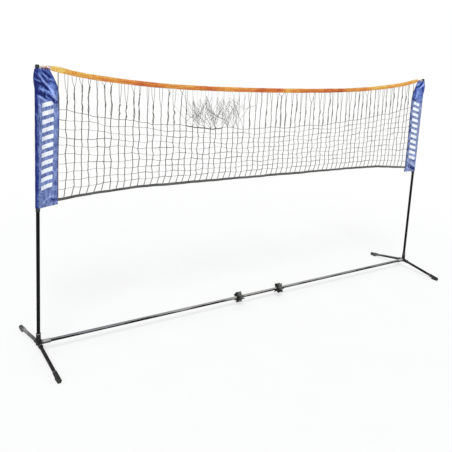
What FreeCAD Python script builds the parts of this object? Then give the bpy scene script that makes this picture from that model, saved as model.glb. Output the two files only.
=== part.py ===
import FreeCAD, Part
import math
import os

from FreeCAD import Placement, Rotation, Vector

os.makedirs("parts", exist_ok=True)

# Lawn volleyball net on two telescopic poles, in millimetres.
# X runs along the net, -Y faces the viewer and Z is up.
# The origin lies on the ground under the middle of the crossbar.
# Everything is drawn with the net raised to its full height.

# Frame
POLE_SPACING = 3000.0
NET_TOP = 1550.0
CROSSBAR_HEIGHT = 65.0
FOOT_REACH = 345.0
CROSSBAR_MIDDLE = 980.0

# Tubes
TUBE_OD = 19.0
TUBE_WALL = 1.0
INNER_TUBE_OD = 16.0
INNER_TUBE_WALL = 1.0
LOWER_POLE_TOP = 830.0
POLE_OVERLAP = 55.0
SEAT_CLEARANCE = 0.05
RUNNING_CLEARANCE = 0.05
BUTT_GAP = 0.3

# Four-way connectors
SOCKET_WALL = 3.4
SOCKET_DRAFT = 0.8
SOCKET_RIM = 1.1
SOCKET_RIM_LENGTH = 4.0
TUBE_STOP = 14.0
POLE_SOCKET = 54.0
CROSSBAR_SOCKET = 63.0
FOOT_SOCKET = 44.0
HUB_SWELL = 1.5
HUB_DEPTH = 15.0
HUB_CHAMFER = 5.0
GUSSET_THICKNESS = 5.0
GUSSET_LEG = 30.0
GUSSET_HOLLOW = 6.0

# Foot caps
CAP_WALL = 2.4
CAP_LENGTH = 76.0
CAP_TOE_CHAMFER = 4.0
TOE_THICKNESS = 12.0
SOLE_LENGTH = 46.0
SOLE_WIDTH = 17.0
TUBE_END_HEIGHT = 13.0

# Crossbar ferrules
FERRULE_LENGTH = 120.0
FERRULE_WALL = 1.2

# Guide collars on the lower poles
COLLAR_WALL = 2.0
COLLAR_LENGTH = 34.0
COLLAR_LIP = 6.0

# Twist locks at the foot of the inner tubes
LOCK_PLUG = 24.0
LOCK_PIN_RADIUS = 4.5
LOCK_RING = 17.0
LOCK_HEAD = 3.0
LOCK_HEAD_RADIUS = 6.5
LOCK_END_PLAY = 0.3
LOCK_SLIT = 1.2

# Pole caps
POLE_CAP_RADIUS = 10.5
POLE_CAP_FLANGE = 3.0
POLE_CAP_HEIGHT = 18.0
POLE_CAP_PLUG = 16.0
POLE_CAP_CHAMFER = 3.5
GROOVE_RADIUS = 7.5
GROOVE_PLAY = 0.4

# Storage clips on the crossbar
CLIP_OFFSET = 170.0
CLIP_LENGTH = 48.0
CLIP_WALL = 2.6
GRIP_WALL = 2.4
GRIP_DISTANCE = 22.5
GRIP_COUNT = 3
GRIP_MOUTH = 104.0
LIP_LENGTH = 4.0
LIP_FLARE = 64.0
LEFT_CLIP_TURN = 45.0
RIGHT_CLIP_TURN = 80.0

# Textiles
CLOTH_CLEARANCE = 0.3
ROPE_DIAMETER = 5.0
HEAD_END = 60.0
HEAD_KNEE = 280.0
HEAD_KNEE_DROP = 47.0
HEAD_SHOULDER = 879.0
HEAD_SAG = 97.0
HEAD_END_ROUND = 60.0
HEAD_KNEE_ROUND = 1000.0
HEAD_SHOULDER_ROUND = 12000.0
LONGEST_ROUND = 0.96
TAPE_START = 9.0
TAPE_WIDTH = 28.0
TAPE_THICKNESS = 8.0
TAPE_EDGE = 2.4
TAPE_FLATS = 4
TAPE_BORE_PLAY = 0.3
HEM_END_HEIGHT = 841.0
HEM_RISE = 42.0
HEM_RISE_LENGTH = 460.0
HEM_ROUND = 5000.0
HEM_WIDTH = 13.0
HEM_THICKNESS = 3.0
NET_COLUMNS = 28
NET_ROWS = 6
NET_CORD = 4.5
NET_THICKNESS = 2.5

# Sleeves, gathered and folded at the top
SLEEVE_DROP = 26.0
SLEEVE_WIDTH = 102.0
SLEEVE_WALL = 1.1
SLEEVE_PANEL = 4.4
SLEEVE_EDGE = 3.0
CHANNEL_LENGTH = 46.0
GATHER_HEIGHT = 25.0
GATHER_REACH = 150.0
GATHER_NARROWING = 46.0
BULGE = 6.0
BULGE_REACH = 104.0
FOLD_DEPTH = 6.0
FOLD_PEAK = 98.0
FOLD_LENGTH = 62.0
FOLD_SLANT = 250.0

TUBE_RADIUS = TUBE_OD / 2
TUBE_BORE = TUBE_RADIUS - TUBE_WALL
INNER_RADIUS = INNER_TUBE_OD / 2
INNER_BORE = INNER_RADIUS - INNER_TUBE_WALL
COLLAR_RADIUS = TUBE_RADIUS + SEAT_CLEARANCE + COLLAR_WALL
CHANNEL_RADIUS = COLLAR_RADIUS + 2 * CLOTH_CLEARANCE
ROPE_RADIUS = ROPE_DIAMETER / 2
SLEEVE_BOTTOM = HEM_END_HEIGHT - SLEEVE_DROP
POLE_CAP_BASE = NET_TOP - POLE_CAP_HEIGHT
ROPE_HEIGHT = POLE_CAP_BASE + POLE_CAP_FLANGE + GROOVE_PLAY + ROPE_RADIUS
INNER_POLE_FOOT = LOWER_POLE_TOP - POLE_OVERLAP
SIDES = (("left", -1), ("right", 1))
ENDS = (("front", -1), ("rear", 1))
UNIT_X = Vector(1, 0, 0)
UP = Vector(0, 0, 1)


def save(name, shape):
    shape.exportStep("parts/" + name + ".step")


def turned(profile, base, direction):
    """Solid turned from a closed list of (radius, height) corners."""
    corners = [Vector(r, 0, h) for r, h in profile]
    face = Part.Face(Part.makePolygon(corners + corners[:1]))
    solid = face.revolve(Vector(0, 0, 0), UP, 360)
    solid.Placement = Placement(base, Rotation(UP, direction))
    return solid


def rod(radius, base, direction, start, end):
    """Round bar along a direction, from start to end as measured from base."""
    return Part.makeCylinder(radius, end - start, base + direction * start, direction)


def tube(outer, bore, base, direction, start, end):
    return turned([(bore, start), (outer, start), (outer, end), (bore, end)], base, direction)


def prism(corners, along):
    """Straight block on a flat outline."""
    return Part.Face(Part.makePolygon(corners + corners[:1])).extrude(along)


def radial(angle):
    """Direction square to the net's length, in degrees from the rear towards the top."""
    return Vector(0, math.cos(math.radians(angle)), math.sin(math.radians(angle)))


def pole_foot(side):
    return Vector(side * POLE_SPACING / 2, 0, CROSSBAR_HEIGHT)


# The feet slope down from the connector so that their tube ends lie on the caps.
FOOT_RUN = FOOT_REACH - TOE_THICKNESS
FOOT_SLOPE = math.atan2(CROSSBAR_HEIGHT - TUBE_END_HEIGHT, FOOT_RUN)
FOOT_TUBE_END = FOOT_RUN / math.cos(FOOT_SLOPE)


def foot_direction(end):
    return Vector(0, end * math.cos(FOOT_SLOPE), -math.sin(FOOT_SLOPE))


SOCKET_ROOT = TUBE_RADIUS + SOCKET_WALL


def socket(base, direction, length, foot):
    """Tapered outside of a socket on its foot, with the thicker rim at its mouth."""
    mouth = SOCKET_ROOT - SOCKET_DRAFT
    rim = mouth + SOCKET_RIM
    rim_start = length - SOCKET_RIM_LENGTH
    profile = foot + [
        (mouth, rim_start - SOCKET_RIM),
        (rim, rim_start),
        (rim, length),
        (0, length),
    ]
    return turned(profile, base, direction)


def gusset(base, direction, leg):
    """Web in the corner between the pole socket and another socket."""
    corner = base
    low = base + direction * (SOCKET_ROOT + leg)
    high = base + UP * (SOCKET_ROOT + leg)
    middle = base + (direction + UP) * ((SOCKET_ROOT + leg) / 2 - GUSSET_HOLLOW)
    edges = [
        Part.LineSegment(corner, low).toShape(),
        Part.Arc(low, middle, high).toShape(),
        Part.LineSegment(high, corner).toShape(),
    ]
    across = direction.cross(UP)
    across.normalize()
    web = Part.Face(Part.Wire(edges)).extrude(across * GUSSET_THICKNESS)
    web.translate(across * (-GUSSET_THICKNESS / 2))
    return web


def connector(side):
    """Moulded connector that joins a pole, the crossbar and two feet."""
    hub = pole_foot(side)
    inward = Vector(-side, 0, 0)
    ways = [(inward, CROSSBAR_SOCKET)]
    ways += [(foot_direction(end), FOOT_SOCKET) for name, end in ENDS]
    # The pole socket swells downward and passes the others into a chamfered foot.
    swell = SOCKET_ROOT + HUB_SWELL
    foot = [
        (0, -HUB_DEPTH),
        (swell - HUB_CHAMFER, -HUB_DEPTH),
        (swell, HUB_CHAMFER - HUB_DEPTH),
    ]
    root = [(0, 0), (SOCKET_ROOT, 0)]
    body = socket(hub, UP, POLE_SOCKET, foot)
    body = body.multiFuse([socket(hub, way, length, root) for way, length in ways])
    ways.append((UP, POLE_SOCKET))
    webs = [gusset(hub, inward, GUSSET_LEG)]
    webs += [gusset(hub, Vector(0, end, 0), GUSSET_LEG / 2) for name, end in ENDS]
    body = body.multiFuse(webs)
    bore = TUBE_RADIUS + SEAT_CLEARANCE
    holes = [rod(bore, hub, way, TUBE_STOP, length + TUBE_OD) for way, length in ways]
    return body.cut(Part.makeCompound(holes)).removeSplitter()


def foot_cap(side, end):
    """Boot over the end of a foot tube, with a chamfered toe and a flat sole."""
    hub = pole_foot(side)
    along = foot_direction(end)
    radius = TUBE_RADIUS + SEAT_CLEARANCE + CAP_WALL
    toe = FOOT_TUBE_END + TOE_THICKNESS
    heel = toe - CAP_LENGTH
    shell = turned(
        [
            (0, heel),
            (radius, heel),
            (radius, toe - CAP_TOE_CHAMFER),
            (radius - CAP_TOE_CHAMFER, toe),
            (0, toe),
        ],
        hub,
        along,
    )
    front = hub.y + end * (FOOT_REACH - TOE_THICKNESS / 3)
    back = front - end * SOLE_LENGTH
    rise = math.tan(FOOT_SLOPE)
    front_axis = CROSSBAR_HEIGHT - abs(front) * rise
    back_axis = CROSSBAR_HEIGHT - abs(back) * rise
    corners = [
        Vector(hub.x, front, 0),
        Vector(hub.x, back, 0),
        Vector(hub.x, back - end * back_axis / 3, back_axis),
        Vector(hub.x, front, front_axis),
    ]
    sole = prism(corners, Vector(SOLE_WIDTH, 0, 0))
    sole.translate(Vector(-SOLE_WIDTH / 2, 0, 0))
    body = shell.fuse(sole)
    body = body.cut(rod(TUBE_RADIUS + SEAT_CLEARANCE, hub, along, heel - 1, FOOT_TUBE_END))
    under = Part.makeBox(100, 200, 50, Vector(hub.x - 50, front - 100, -50))
    return body.cut(under).removeSplitter()


def pole_cap(side):
    """Plug for the top of the inner tube, grooved for the eye of the net's rope."""
    top = POLE_CAP_HEIGHT
    groove = POLE_CAP_FLANGE + ROPE_DIAMETER + 2 * GROOVE_PLAY
    plug = INNER_BORE - SEAT_CLEARANCE
    profile = [
        (0, -POLE_CAP_PLUG),
        (plug, -POLE_CAP_PLUG),
        (plug, 0),
        (POLE_CAP_RADIUS, 0),
        (POLE_CAP_RADIUS, POLE_CAP_FLANGE),
        (GROOVE_RADIUS, POLE_CAP_FLANGE),
        (GROOVE_RADIUS, groove),
        (POLE_CAP_RADIUS, groove),
        (POLE_CAP_RADIUS, top - POLE_CAP_CHAMFER),
        (POLE_CAP_RADIUS - POLE_CAP_CHAMFER, top),
        (0, top),
    ]
    return turned(profile, Vector(side * POLE_SPACING / 2, 0, POLE_CAP_BASE), UP)


def guide_collar(side):
    """Collar over the end of the lower pole, whose lip guides the inner tube."""
    lip = INNER_RADIUS + RUNNING_CLEARANCE
    seat = TUBE_RADIUS + SEAT_CLEARANCE
    profile = [
        (seat, -COLLAR_LENGTH),
        (COLLAR_RADIUS, -COLLAR_LENGTH),
        (COLLAR_RADIUS, 0),
        (INNER_RADIUS + COLLAR_WALL, COLLAR_LIP),
        (lip, COLLAR_LIP),
        (lip, 0),
        (seat, 0),
    ]
    return turned(profile, Vector(side * POLE_SPACING / 2, 0, LOWER_POLE_TOP), UP)


def lock_core(side):
    """Plug in the foot of the inner tube, with the headed pin of the twist lock."""
    ring = LOCK_RING + 2 * LOCK_END_PLAY
    plug = INNER_BORE - SEAT_CLEARANCE
    profile = [
        (0, LOCK_PLUG),
        (plug, LOCK_PLUG),
        (plug, 0),
        (LOCK_PIN_RADIUS, 0),
        (LOCK_PIN_RADIUS, -ring),
        (LOCK_HEAD_RADIUS, -ring),
        (LOCK_HEAD_RADIUS, -ring - LOCK_HEAD),
        (0, -ring - LOCK_HEAD),
    ]
    return turned(profile, Vector(side * POLE_SPACING / 2, 0, INNER_POLE_FOOT), UP)


def lock_ring(side):
    """Slit ring on the lock's pin, which bears on the bore of the lower pole."""
    top = INNER_POLE_FOOT - LOCK_END_PLAY
    axis = Vector(side * POLE_SPACING / 2, 0, 0)
    bore = LOCK_PIN_RADIUS + RUNNING_CLEARANCE
    outer = TUBE_BORE - RUNNING_CLEARANCE
    ring = tube(outer, bore, axis, UP, top - LOCK_RING, top)
    slit = Part.makeBox(TUBE_OD, LOCK_SLIT, LOCK_RING + 2)
    slit.translate(axis + Vector(0, -LOCK_SLIT / 2, top - LOCK_RING - 1))
    return ring.cut(slit)


def storage_clip(side, turn):
    """Ring that turns on the crossbar, with C-shaped grips for the packed tubes."""
    along = Vector(CLIP_LENGTH, 0, 0)
    centre = Vector(side * CLIP_OFFSET - CLIP_LENGTH / 2, 0, CROSSBAR_HEIGHT)
    grip_radius = TUBE_RADIUS + GRIP_WALL
    ring_bore = TUBE_RADIUS + RUNNING_CLEARANCE
    body = rod(ring_bore + CLIP_WALL, centre, UNIT_X, 0, CLIP_LENGTH)
    holes = [rod(ring_bore, centre, UNIT_X, 0, CLIP_LENGTH)]
    grips = []
    lips = []
    for i in range(GRIP_COUNT):
        angle = turn + i * 360 / GRIP_COUNT
        middle = centre + radial(angle) * GRIP_DISTANCE
        grips.append(rod(grip_radius, middle, UNIT_X, 0, CLIP_LENGTH))
        holes.append(rod(TUBE_RADIUS, middle, UNIT_X, 0, CLIP_LENGTH))
        # The mouth is a wedge from the grip's axis, and its lips flare outward.
        wedge = [middle]
        for edge in (-1, 1):
            way = radial(angle + edge * GRIP_MOUTH / 2)
            wedge.insert(1, middle + way * (2 * grip_radius))
            flare = radial(angle + edge * LIP_FLARE) * LIP_LENGTH
            root = middle + way * TUBE_RADIUS
            tip = middle + way * grip_radius
            lips.append(prism([root, tip, tip + flare, root + flare], along))
        wedge.insert(2, middle + radial(angle) * (4 * grip_radius))
        holes.append(prism(wedge, along))
    body = body.multiFuse(grips).cut(Part.makeCompound(holes))
    return body.multiFuse(lips).removeSplitter()


def spans(points, radii):
    """Runs and tangent arcs of a line through points, each rounded to its radius.

    A run is (start, end, None) and an arc is (start, end, centre). They lie in XZ.
    Arcs that would take up more than the run between them are made smaller.
    """
    legs = [points[i + 1] - points[i] for i in range(len(points) - 1)]
    halves = [legs[i].getAngle(legs[i + 1]) / 2 for i in range(len(radii))]
    reaches = [0.0] + [radius * math.tan(half) for radius, half in zip(radii, halves)] + [0.0]
    for i, leg in enumerate(legs):
        used = reaches[i] + reaches[i + 1]
        share = min(1.0, LONGEST_ROUND * leg.Length / used)
        reaches[i] *= share
        reaches[i + 1] *= share
    made = []
    start = points[0]
    for i in range(1, len(points) - 1):
        into = Vector(legs[i - 1]).normalize()
        out = Vector(legs[i]).normalize()
        reach = reaches[i]
        first = points[i] - into * reach
        last = points[i] + out * reach
        inner = (out - into).normalize()
        centre = points[i] + inner * (reach / math.sin(halves[i - 1]))
        made.append((start, first, None))
        made.append((first, last, centre))
        start = last
    made.append((start, points[-1], None))
    return made


def offset_points(points, radii, rise):
    """Corners and radii of the line that runs a set distance above another."""
    moved = []
    ways = [(points[i + 1] - points[i]).normalize() for i in range(len(points) - 1)]
    normals = [Vector(-way.z, 0, way.x) for way in ways]
    moved.append(points[0] + normals[0] * rise)
    rounds = []
    for i in range(1, len(points) - 1):
        mean = (normals[i - 1] + normals[i]).normalize()
        moved.append(points[i] + mean * (rise / mean.dot(normals[i])))
        upward = ways[i].z > ways[i - 1].z
        rounds.append(radii[i - 1] - rise if upward else radii[i - 1] + rise)
    moved.append(points[-1] + normals[-1] * rise)
    return moved, rounds


def edges_of(line):
    made = []
    for start, end, centre in line:
        if centre is None:
            made.append(Part.LineSegment(start, end).toShape())
        else:
            radius = (start - centre).Length
            middle = centre + ((start + end) * 0.5 - centre).normalize() * radius
            made.append(Part.Arc(start, middle, end).toShape())
    return made


def height_at(line, x):
    """Height of a rounded line at a place along the net."""
    for start, end, centre in line:
        if start.x - 1e-6 <= x <= end.x + 1e-6:
            if centre is None:
                return start.z + (end.z - start.z) * (x - start.x) / (end.x - start.x)
            depth = math.sqrt((start - centre).Length ** 2 - (x - centre.x) ** 2)
            return centre.z - depth if start.z < centre.z else centre.z + depth
    return line[0][0].z if x < 0 else line[-1][1].z


def both_ways(points):
    """A half of a symmetric line, and its mirror image."""
    return points + [Vector(-p.x, 0, p.z) for p in reversed(points)]


# The head rope leaves each cap level, dips to a knee and then hangs in a long arc.
EYE_RADIUS = GROOVE_RADIUS + CLOTH_CLEARANCE + ROPE_RADIUS
HALF_SPACING = POLE_SPACING / 2
rope_half = [
    Vector(-HALF_SPACING + EYE_RADIUS, 0, ROPE_HEIGHT),
    Vector(-HALF_SPACING + HEAD_END, 0, ROPE_HEIGHT),
    Vector(-HALF_SPACING + HEAD_KNEE, 0, ROPE_HEIGHT - HEAD_KNEE_DROP),
    Vector(-HALF_SPACING + HEAD_SHOULDER, 0, ROPE_HEIGHT - HEAD_SAG),
]
rope_points = both_ways(rope_half)
rope_radii = [HEAD_END_ROUND, HEAD_KNEE_ROUND, HEAD_SHOULDER_ROUND]
rope_radii = rope_radii + rope_radii[::-1]
rope_line = spans(rope_points, rope_radii)

# The tape covers the rope from just past its first bend.
slope = (rope_half[2] - rope_half[1]).normalize()
tape_points = both_ways([rope_half[1] + slope * TAPE_START] + rope_half[2:])
tape_radii = rope_radii[1:-1]


def section_ring(radius):
    """Corners of the rope's six-sided section, as (outward, upward) steps."""
    turns = [math.radians(60 * i) for i in range(6)]
    return [(radius * math.cos(turn), radius * math.sin(turn)) for turn in turns]


def rope_section(line, radius):
    """The rope's section, square to the start of a line."""
    start, end, centre = line[0]
    way = (end - start).normalize()
    up = Vector(-way.z, 0, way.x)
    corners = [start + Vector(0, out, 0) + up * rise for out, rise in section_ring(radius)]
    return Part.makePolygon(corners + corners[:1])


def head_rope():
    """Rope with a spliced eye round the groove of each pole cap."""
    path = Part.Wire(edges_of(rope_line))
    rope = path.makePipeShell([rope_section(rope_line, ROPE_RADIUS)], True, False)
    eyes = []
    for name, side in SIDES:
        ring = [(EYE_RADIUS + out, rise) for out, rise in section_ring(ROPE_RADIUS)]
        eyes.append(turned(ring, Vector(side * HALF_SPACING, 0, ROPE_HEIGHT), UP))
    return rope.multiFuse(eyes)


def head_tape():
    """Padded tape round the head rope: a lens in section, with a bore for the rope.

    Each bowed face of the lens is made of flats, like the rope's six sides.
    """
    line = spans(tape_points, tape_radii)
    start = line[0][0]
    way = (line[0][1] - start).normalize()
    up = Vector(-way.z, 0, way.x) * (TAPE_WIDTH / 2)
    section = []
    for face in (-1, 1):
        for i in range(TAPE_FLATS + 1):
            across = 2 * i / TAPE_FLATS - 1
            half = (TAPE_THICKNESS - (TAPE_THICKNESS - TAPE_EDGE) * across ** 2) / 2
            section.append(start - up * (face * across) + Vector(0, face * half, 0))
    path = Part.Wire(edges_of(line))
    body = path.makePipeShell([Part.makePolygon(section + section[:1])], True, False)
    bore = rope_section(line, ROPE_RADIUS + TAPE_BORE_PLAY)
    return body.cut(path.makePipeShell([bore], True, False))


# The bottom hem rises from the poles and arches up a little between the sleeves.
NET_EDGE = HALF_SPACING - SLEEVE_WIDTH - CLOTH_CLEARANCE
hem_points = both_ways([
    Vector(-HALF_SPACING, 0, HEM_END_HEIGHT),
    Vector(-HALF_SPACING + HEM_RISE_LENGTH, 0, HEM_END_HEIGHT + HEM_RISE),
])
hem_radii = [HEM_ROUND, HEM_ROUND]


def trimmed(line, edge):
    """The part of a symmetric rounded line between -edge and edge."""
    kept = []
    for start, end, centre in line:
        if end.x <= -edge or start.x >= edge:
            continue
        if start.x < -edge:
            start = Vector(-edge, 0, height_at(line, -edge))
        if end.x > edge:
            end = Vector(edge, 0, height_at(line, edge))
        kept.append((start, end, centre))
    return kept


def net_line(points, radii, rise):
    """The line a set distance above another, between the sleeves."""
    return trimmed(spans(*offset_points(points, radii, rise)), NET_EDGE)


def outline_between(low, top):
    """Outline of a sheet between two lines, cut upright at the sleeves."""
    sides = []
    for x in (-NET_EDGE, NET_EDGE):
        foot = Vector(x, 0, height_at(low, x))
        head = Vector(x, 0, height_at(top, x))
        sides.append(Part.LineSegment(foot, head).toShape())
    return Part.Wire(Part.__sortEdges__(edges_of(low) + edges_of(top) + sides))


def sheet(face, thickness):
    """Sheet of a thickness on both sides of the net's plane."""
    solid = face.extrude(Vector(0, thickness, 0))
    solid.translate(Vector(0, -thickness / 2, 0))
    return solid


def bottom_hem():
    low = net_line(hem_points, hem_radii, -HEM_WIDTH / 2)
    top = net_line(hem_points, hem_radii, HEM_WIDTH / 2)
    return sheet(Part.Face(outline_between(low, top)), HEM_THICKNESS)


def net_mesh():
    """Net between the tape, the hem and the sleeves: one thin sheet with square gaps."""
    top = net_line(tape_points, tape_radii, -TAPE_WIDTH / 2 - CLOTH_CLEARANCE)
    low = net_line(hem_points, hem_radii, HEM_WIDTH / 2 + CLOTH_CLEARANCE)
    half = NET_CORD / 2
    first = -NET_EDGE + half
    pitch = (2 * NET_EDGE - NET_CORD) / NET_COLUMNS

    def knot(column, row):
        x = first + column * pitch
        bottom = height_at(low, x) + half
        head = height_at(top, x) - half
        return Vector(x, 0, bottom + (head - bottom) * row / NET_ROWS)

    wires = [outline_between(low, top)]
    for column in range(NET_COLUMNS):
        for row in range(NET_ROWS):
            gap = [
                knot(column, row) + Vector(half, 0, half),
                knot(column + 1, row) + Vector(-half, 0, half),
                knot(column + 1, row + 1) + Vector(-half, 0, -half),
                knot(column, row + 1) + Vector(half, 0, -half),
            ]
            wires.append(Part.makePolygon(gap + gap[:1]))
    return sheet(Part.makeFace(wires, "Part::FaceMakerBullseye"), NET_THICKNESS)


SLEEVE_TOP = POLE_CAP_BASE - CLOTH_CLEARANCE
SLEEVE_LEVELS = 7
SLEEVE_SPANS = 5
CHANNEL_TURN = 98


def bow(start, middle, end):
    """Curve from start to end through a middle place, which may also be straight."""
    curve = Part.BezierCurve()
    curve.setPoles([start, middle * 2 - (start + end) * 0.5, end])
    return curve.toShape()


def sleeve_section(side, depth):
    """Outline of the sleeve at a depth below its top.

    It goes round the pole and then along a double panel. Towards the gathered top
    the panel narrows and the channel swells. The folds are deepest a little lower.
    """
    height = SLEEVE_TOP - depth
    gathered = max(0.0, 1 - depth / GATHER_REACH)
    width = SLEEVE_WIDTH - GATHER_NARROWING * gathered ** 2
    radius = CHANNEL_RADIUS + SLEEVE_WALL
    if depth < BULGE_REACH:
        radius = radius + BULGE * math.sin(math.pi * depth / BULGE_REACH)
    fold = FOLD_DEPTH * depth / FOLD_PEAK * math.exp(1 - depth / FOLD_PEAK)

    def outline(u, face):
        channel = min(1.0, max(0.0, (u - start) / CHANNEL_LENGTH))
        swell = 0.5 + 0.5 * math.cos(math.pi * channel)
        thin = SLEEVE_PANEL / 2 + (SLEEVE_EDGE - SLEEVE_PANEL) / 2 * u / width
        half = thin + (radius * math.sin(math.radians(CHANNEL_TURN)) - thin) * swell
        turn = 2 * math.pi * (u / FOLD_LENGTH + depth / FOLD_SLANT)
        shift = fold * (1 - swell) * math.sin(turn)
        shift = shift * min(1.0, 3 * (1 - u / width) + 0.15)
        x = side * (HALF_SPACING - u)
        return Vector(x, face * half + shift, height)

    start = radius * math.cos(math.radians(CHANNEL_TURN))
    step = (width - start) / SLEEVE_SPANS
    stops = [start + step * i for i in range(SLEEVE_SPANS + 1)]
    edges = []
    for i in range(SLEEVE_SPANS):
        middle = (stops[i] + stops[i + 1]) / 2
        edges.append(bow(*[outline(u, -1) for u in (stops[i], middle, stops[i + 1])]))
    tip = [outline(stops[-1], -1), outline(stops[-1], 1)]
    edges.append(Part.LineSegment(*tip).toShape())
    for i in reversed(range(SLEEVE_SPANS)):
        middle = (stops[i] + stops[i + 1]) / 2
        edges.append(bow(*[outline(u, 1) for u in (stops[i + 1], middle, stops[i])]))
    # Two arcs go round the outside of the pole.
    axis = Vector(side * HALF_SPACING, 0, height)
    for face in (1, -1):
        bend = math.radians(CHANNEL_TURN / 2)
        middle = axis + Vector(side * radius * math.cos(bend), face * radius * math.sin(bend), 0)
        ends = [outline(start, face), axis + Vector(side * radius, 0, 0)]
        edges.append(Part.Arc(ends[0], middle, ends[1]).toShape())
    return Part.Wire(edges)


def sleeve(side):
    """Nylon sleeve: a channel for the pole and a double panel sewn to the net."""
    length = SLEEVE_TOP - SLEEVE_BOTTOM
    # The levels crowd towards the top, where the folds are.
    depths = [length * (i / (SLEEVE_LEVELS - 1)) ** 2 for i in range(SLEEVE_LEVELS)]
    body = Part.makeLoft([sleeve_section(side, depth) for depth in depths], True, True)
    axis = Vector(side * HALF_SPACING, 0, 0)
    gather = SLEEVE_TOP - GATHER_HEIGHT
    body = body.cut(rod(CHANNEL_RADIUS, axis, UP, SLEEVE_BOTTOM - 1, gather))
    return body.cut(rod(INNER_RADIUS + CLOTH_CLEARANCE, axis, UP, gather - 1, NET_TOP))


for name, side in SIDES:
    hub = pole_foot(side)
    axis = Vector(side * HALF_SPACING, 0, 0)
    save("connector_" + name, connector(side))
    for place, end in ENDS:
        along = foot_direction(end)
        foot = tube(TUBE_RADIUS, TUBE_BORE, hub, along, TUBE_STOP, FOOT_TUBE_END)
        save("foot_tube_" + place + "_" + name, foot)
        save("foot_cap_" + place + "_" + name, foot_cap(side, end))
    lower_foot = CROSSBAR_HEIGHT + TUBE_STOP
    save("lower_pole_" + name, tube(TUBE_RADIUS, TUBE_BORE, axis, UP, lower_foot, LOWER_POLE_TOP))
    save("guide_collar_" + name, guide_collar(side))
    upper = tube(INNER_RADIUS, INNER_BORE, axis, UP, INNER_POLE_FOOT, POLE_CAP_BASE)
    save("upper_pole_" + name, upper)
    save("pole_cap_" + name, pole_cap(side))
    save("lock_core_" + name, lock_core(side))
    save("lock_ring_" + name, lock_ring(side))
    save("sleeve_" + name, sleeve(side))

    # The outer crossbar tubes meet the middle one on a ferrule.
    inward = Vector(-side, 0, 0)
    reach = HALF_SPACING - CROSSBAR_MIDDLE / 2
    outer = tube(TUBE_RADIUS, TUBE_BORE, hub, inward, TUBE_STOP, reach - BUTT_GAP)
    save("crossbar_" + name, outer)
    spigot = TUBE_BORE - SEAT_CLEARANCE
    ends = (reach - FERRULE_LENGTH / 2, reach + FERRULE_LENGTH / 2)
    save("crossbar_ferrule_" + name, tube(spigot, spigot - FERRULE_WALL, hub, inward, *ends))

middle_start = Vector(-CROSSBAR_MIDDLE / 2, 0, CROSSBAR_HEIGHT)
middle_tube = tube(TUBE_RADIUS, TUBE_BORE, middle_start, UNIT_X, 0, CROSSBAR_MIDDLE)
save("crossbar_middle", middle_tube)
save("storage_clip_left", storage_clip(-1, LEFT_CLIP_TURN))
save("storage_clip_right", storage_clip(1, RIGHT_CLIP_TURN))
save("head_rope", head_rope())
save("head_tape", head_tape())
save("bottom_hem", bottom_hem())
save("net_mesh", net_mesh())
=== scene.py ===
import random
from math import atan2, copysign, cos, dist, exp, hypot, pi, radians, sin, sqrt, tan

import bpy
from mathutils import Matrix, Vector


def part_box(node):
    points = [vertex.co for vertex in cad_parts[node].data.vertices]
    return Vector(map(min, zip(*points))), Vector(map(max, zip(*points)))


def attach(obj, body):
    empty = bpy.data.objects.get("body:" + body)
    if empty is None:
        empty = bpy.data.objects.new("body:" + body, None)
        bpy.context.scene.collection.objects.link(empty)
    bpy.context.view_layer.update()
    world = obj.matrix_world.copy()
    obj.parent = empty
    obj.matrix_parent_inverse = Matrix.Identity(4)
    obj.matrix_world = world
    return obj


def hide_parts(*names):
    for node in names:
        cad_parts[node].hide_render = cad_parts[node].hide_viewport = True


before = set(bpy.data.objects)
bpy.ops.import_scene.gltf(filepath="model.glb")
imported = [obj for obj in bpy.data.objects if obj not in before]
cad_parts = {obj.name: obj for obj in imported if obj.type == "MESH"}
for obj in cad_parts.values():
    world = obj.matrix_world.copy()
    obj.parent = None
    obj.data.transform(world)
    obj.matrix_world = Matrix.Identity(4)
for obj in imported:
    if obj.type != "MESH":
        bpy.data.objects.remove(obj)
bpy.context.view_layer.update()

# The viewer stands in front of the left pole, at the height of the net's top,
# and looks along the net and slightly down.
viewer_place = Vector((-2.4028, -3.0019, 1.6425))
viewer_yaw, viewer_pitch, viewer_roll = 0.6181, 0.1803, 0.0557
level_look = Matrix(((1, 0, 0), (0, 0, -1), (0, 1, 0)))
look = Matrix.Rotation(viewer_roll, 3, "Z") @ Matrix.Rotation(viewer_pitch, 3, "X")
look = look @ level_look @ Matrix.Rotation(viewer_yaw, 3, "Z")
viewer = bpy.data.objects.new("viewer", bpy.data.cameras.new("viewer"))
viewer.data.sensor_width = 36
viewer.data.lens = 47.21
viewer.data.shift_x = -0.0185
viewer.data.shift_y = -0.1358
viewer.matrix_world = Matrix.Translation(viewer_place) @ (
    look.transposed() @ Matrix.Diagonal((1, -1, -1))
).to_4x4()
bpy.context.scene.collection.objects.link(viewer)
bpy.context.scene.camera = viewer
bpy.context.scene.view_settings.view_transform = "Standard"


# The head rope carries the net. It is white polyester of three strands, 5 mm thick,
# and runs inside the orange tape. At each end it goes round the groove of a pole cap,
# comes back beside itself and is whipped down with twine.
def new_finish(name):
    """A material, its node tree and its shader."""
    finish = bpy.data.materials.new(name)
    finish.use_nodes = True
    return finish, finish.node_tree, finish.node_tree.nodes["Principled BSDF"]


def put(tree, kind, inputs, **settings):
    """Adds a node, sets or links its inputs, and returns its outputs."""
    made = tree.nodes.new("ShaderNode" + kind)
    for key, value in settings.items():
        setattr(made, key, value)
    for socket, value in inputs.items():
        if isinstance(value, bpy.types.NodeSocket):
            tree.links.new(value, made.inputs[socket])
        else:
            made.inputs[socket].default_value = value
    return made.outputs


def maths(tree, operation, *values):
    """What a Math node makes of one to three values."""
    return put(tree, "Math", dict(enumerate(values)), operation=operation)["Value"]


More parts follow.
